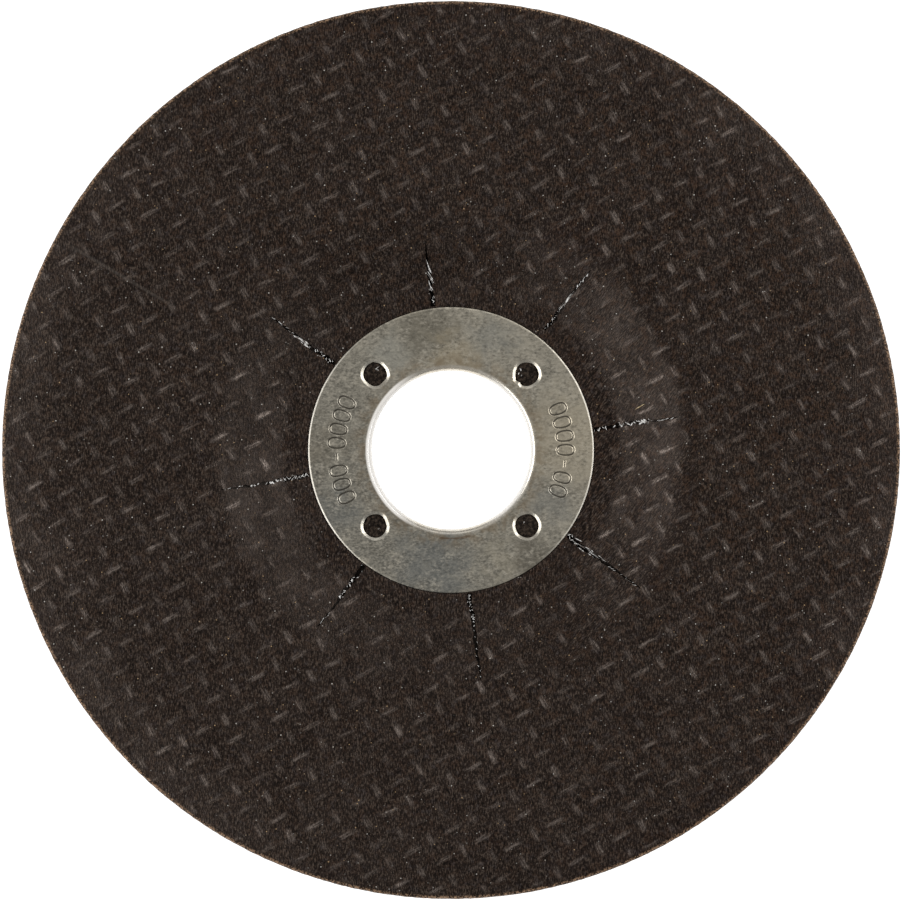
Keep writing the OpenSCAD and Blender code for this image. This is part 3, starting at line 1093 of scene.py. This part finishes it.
# Rows: points of the bend, and radii on the plain and the stamped parts of the flange
BEND_POINTS = 12
INNER_RADII = (BORE_R + ROLL_R + 0.5, 13.0, 13.8)
OUTER_RADII = (18.2, 19.2, RING_R - EDGE_W - 0.05, RING_R - EDGE_W)
STAMP_HALF_H = DIGIT_H / 2 + 0.3
STAMP_STEP = 0.08
RING_ANGLE = 35
# Grip holes: columns, waver as a share of the radius, and the wall and root of the turned lip
HOLE_COUNT = 72
HOLE_WAVER = 0.012
LIP_WALL = 0.3
LIP_ROOT = 0.2
# How far the tool that cuts a hole reaches below the seat and above the ring
CUT_BELOW = 2.0
CUT_ABOVE = 0.4
# Where a hole's outline is torn: bearing round the hole, share of its radius and width in degrees
TEARS = {
    45: ((228, -0.08, 8), (208, 0.06, 7), (250, 0.04, 8)),
    135: ((-5, 0.05, 9), (46, -0.07, 22), (-44, -0.06, 18), (100, 0.08, 8)),
    225: ((20, -0.03, 20),),
    315: ((200, -0.03, 20),),
}


def zero_strokes(centre):
    """One plain upright zero as a closed line, in stamp coordinates."""
    a = np.linspace(0, 2 * math.pi, DIGIT_POINTS)
    side, rise = (np.sign(v) * np.abs(v) ** DIGIT_SQUARE for v in (np.sin(a), np.cos(a)))
    return np.stack([centre + DIGIT_W / 2 * side, DIGIT_H / 2 * rise], 1)


def stamp_lines(pattern):
    """Lines of a row of plain zeros; a bar stands for a gap mark."""
    start = -DIGIT_STEP * (len(pattern) - 1) / 2
    lines = []
    for k, mark in enumerate(pattern):
        centre = start + k * DIGIT_STEP
        if mark == "0":
            lines.append(zero_strokes(centre))
        else:
            lines.append(np.array([[centre - BAR_HALF, 0.0], [centre + BAR_HALF, 0.0]]))
    return lines


def line_distance(points, line):
    """Distance of each point from a line of straight stretches."""
    best = np.full(len(points), np.inf)
    for p, q in zip(line[:-1], line[1:]):
        d = q - p
        t = np.clip(((points - p) @ d) / (d @ d), 0, 1)
        best = np.minimum(best, np.hypot(*(points - p - np.outer(t, d)).T))
    return best


def stamped_depth(radius, angle):
    """How deep the marks are pressed in along one row of the flange."""
    depth = np.zeros(len(angle))
    for centre, pattern in STAMP_MARKS:
        turn = (angle - centre + math.pi) % (2 * math.pi) - math.pi
        points = np.stack([-turn * STAMP_R, np.full(len(angle), radius - STAMP_R)], 1)
        for line in stamp_lines(pattern):
            gap = line_distance(points, line)
            depth += STAMP_DEPTH * np.clip(1 - (gap / STAMP_HALF_W) ** 2, 0, 1)
    return depth


def ring_columns():
    """Bearings of the ring's columns, close together where the marks are stamped."""
    fine = np.arange(-FINE_SPAN, FINE_SPAN, FINE_STEP)
    coarse = np.arange(FINE_SPAN, 180 - FINE_SPAN, COARSE_STEP)
    return np.radians(np.concatenate([fine, coarse, fine + 180, coarse + 180]))


def ring_profile():
    """Closed section of the ring as (r, z): rolled bend, top, edge, underside and collar."""
    middle = np.array([BORE_R + ROLL_R, RING_TOP - ROLL_R])
    turn = [np.array([math.cos(a), math.sin(a)]) for a in np.linspace(math.pi, math.pi / 2, BEND_POINTS)]
    roll = [tuple(middle + ROLL_R * out) for out in turn]
    inner = [tuple(middle + FOLD_R * out) for out in turn[::-1]]
    stamped = np.arange(STAMP_R - STAMP_HALF_H, STAMP_R + STAMP_HALF_H, STAMP_STEP)
    top = [(radius, RING_TOP) for radius in (*INNER_RADII, *stamped, *OUTER_RADII)]
    edge = [
        (RING_R - 0.2 * EDGE_W, RING_TOP - 0.8 * EDGE_DROP),
        (RING_R, RING_TOP - 1.6 * EDGE_DROP),
        (RING_R, SEAT_Z),
    ]
    foot = [(BORE_R + SHEET_T, COLLAR_Z), (BORE_R, COLLAR_Z)]
    return roll + top + edge + inner + foot


def ring():
    """The pressed ring, with its marks stamped into the flange."""
    profile = ring_profile()
    angle = ring_columns()
    rows = []
    for radius, height in profile:
        z = np.full(len(angle), height)
        if height == RING_TOP and abs(radius - STAMP_R) <= STAMP_HALF_H:
            z -= stamped_depth(radius, angle)
        rows.append(np.stack([radius * np.cos(angle), radius * np.sin(angle), z], 1))
    pile = Pile()
    pile.add(np.concatenate(rows), grid_faces(len(profile), len(angle), closed=True))
    obj = pile.piece("stamped_ring", ring_material(), RING_ANGLE)
    pierce(obj)
    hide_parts("arbor_ring")
    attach(obj, "root")


def eyelet(name, centre, profile, waver):
    """Closed turned shape round a hole's own axis; waver is a radius factor for each column."""
    pile = Pile()
    pile.stack([row(radius * waver, HOLE_COUNT, height, centre) for radius, height in profile])
    return pile.piece(name, bpy.data.materials["ring_steel"])


def pierce(obj):
    """Turned lips under the flange, then the four holes with rounded mouths."""
    mouth = [
        (GRIP_HOLE_R + MOUTH_W * t, RING_TOP - MOUTH_DROP * (1 - t) ** MOUTH_CURVE)
        for t in np.linspace(0, 1, MOUTH_POINTS)
    ]
    hole = [(GRIP_HOLE_R, SEAT_Z - CUT_BELOW), *mouth, (GRIP_HOLE_R + MOUTH_W, RING_TOP + CUT_ABOVE)]
    lip = [(GRIP_HOLE_R + LIP_WALL, SEAT_Z - GRIP_LIP), (GRIP_HOLE_R + LIP_WALL, SEAT_Z + LIP_ROOT)]
    rng = np.random.default_rng(HOLE_SEED)
    a = np.arange(HOLE_COUNT) * 2 * math.pi / HOLE_COUNT
    tools = []
    for bearing in GRIP_BEARINGS:
        centre = GRIP_R * direction(bearing)
        waver = np.ones(HOLE_COUNT)
        for lobes in (3, 5):
            waver += HOLE_WAVER * np.sin(lobes * a + rng.uniform(0, 6))
        for middle, share, width in TEARS[bearing]:
            turn = (np.degrees(a) - middle + 180) % 360 - 180
            waver += share * np.exp(-((turn / width) ** 2))
        tools.append((eyelet("lip", centre, lip, np.ones(HOLE_COUNT)), "UNION"))
        tools.append((eyelet("hole", centre, hole, waver), "DIFFERENCE"))
    for tool, operation in tools:
        cut = obj.modifiers.new("cut", "BOOLEAN")
        cut.operation = operation
        cut.solver = "EXACT"
        cut.object = tool
    graph = bpy.context.evaluated_depsgraph_get()
    mesh = bpy.data.meshes.new_from_object(obj.evaluated_get(graph))
    obj.modifiers.clear()
    uncut = obj.data
    obj.data = mesh
    bpy.data.meshes.remove(uncut)
    for tool, _ in tools:
        bpy.data.objects.remove(tool)
    smooth(mesh, RING_ANGLE)


# Stage, in metres but for the table

CAMERA_RISE = 0.9
CAMERA_NEAR = 0.05
SENSOR = 36.0
FRAME_WIDTH = 125.33 * MM
AIM = (-0.07 * MM, 0.0)
# Lamps: name, place, size and power
LAMPS = (
    ("left", (-0.75, -0.15, 0.55), (1.1, 0.35), 7.4),
    ("right", (0.75, 0.18, 0.55), (1.1, 0.35), 6.0),
    ("top", (0.0, 0.75, 0.7), (0.8, 0.4), 0.8),
)
ROOM_LIGHT = 0.15
WHITE = (1, 1, 1, 1)
# The table: millimetres to its raised rim, the rim's radius, columns and points, and its looks
TABLE_R = 2600.0
TABLE_RIM = 500.0
TABLE_COUNT = 96
TABLE_RIM_POINTS = 9
TABLE_GREY = (0.8, 0.8, 0.8, 1)
TABLE_GLOW = 0.85


def camera():
    """Looks straight down the bore."""
    data = bpy.data.cameras.new("camera")
    data.sensor_width = SENSOR
    data.lens = SENSOR * CAMERA_RISE / FRAME_WIDTH
    data.clip_start = CAMERA_NEAR
    obj = linked("camera", data)
    obj.location = (*AIM, FACE_TOP * MM + CAMERA_RISE)
    bpy.context.scene.camera = obj


def table_material():
    """Keeps the shadow, and reads as white to the camera and in reflections."""
    s = Shader("table")
    path = s.node("ShaderNodeLightPath")
    seen = s.math("MAXIMUM", path.outputs["Is Camera Ray"], path.outputs["Is Glossy Ray"])
    matt = s.node("ShaderNodeBsdfDiffuse", None, {"Color": TABLE_GREY})
    glow = s.node("ShaderNodeEmission", None, {"Color": WHITE, "Strength": s.mul(seen, TABLE_GLOW)})
    both = s.node("ShaderNodeAddShader", None, {0: matt.outputs[0], 1: glow.outputs[0]})
    s.material.cycles.emission_sampling = "NONE"
    return s.output(both)


def floor():
    """Round white table, with a raised rim that stands behind the wheel in low views."""
    turn = np.linspace(-math.pi / 2, 0, TABLE_RIM_POINTS)
    rim = [(TABLE_R + TABLE_RIM * math.cos(a), TABLE_RIM * (1 + math.sin(a))) for a in turn]
    pile = Pile()
    pile.revolve(rim, TABLE_COUNT)
    # The flat middle, within the rim's first row
    pile.faces.append(list(range(TABLE_COUNT)))
    pile.piece("table", table_material())


def lights():
    """Soft lamps that point at the wheel, in an evenly lit room."""
    world = bpy.data.worlds.new("room")
    bpy.context.scene.world = world
    world.use_nodes = True
    room = world.node_tree.nodes["Background"]
    room.inputs["Color"].default_value = WHITE
    room.inputs["Strength"].default_value = ROOM_LIGHT
    for name, location, size, power in LAMPS:
        data = bpy.data.lights.new(name, "AREA")
        data.shape = "RECTANGLE"
        data.size, data.size_y = size
        data.energy = power
        obj = linked(name, data)
        obj.location = location
        obj.rotation_euler = (-Vector(location)).to_track_quat("-Z", "Y").to_euler()
    bpy.context.scene.view_settings.view_transform = "Standard"


def main():
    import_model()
    wheel()
    slivers()
    loose_fibre()
    ring()
    floor()
    lights()
    camera()


main()
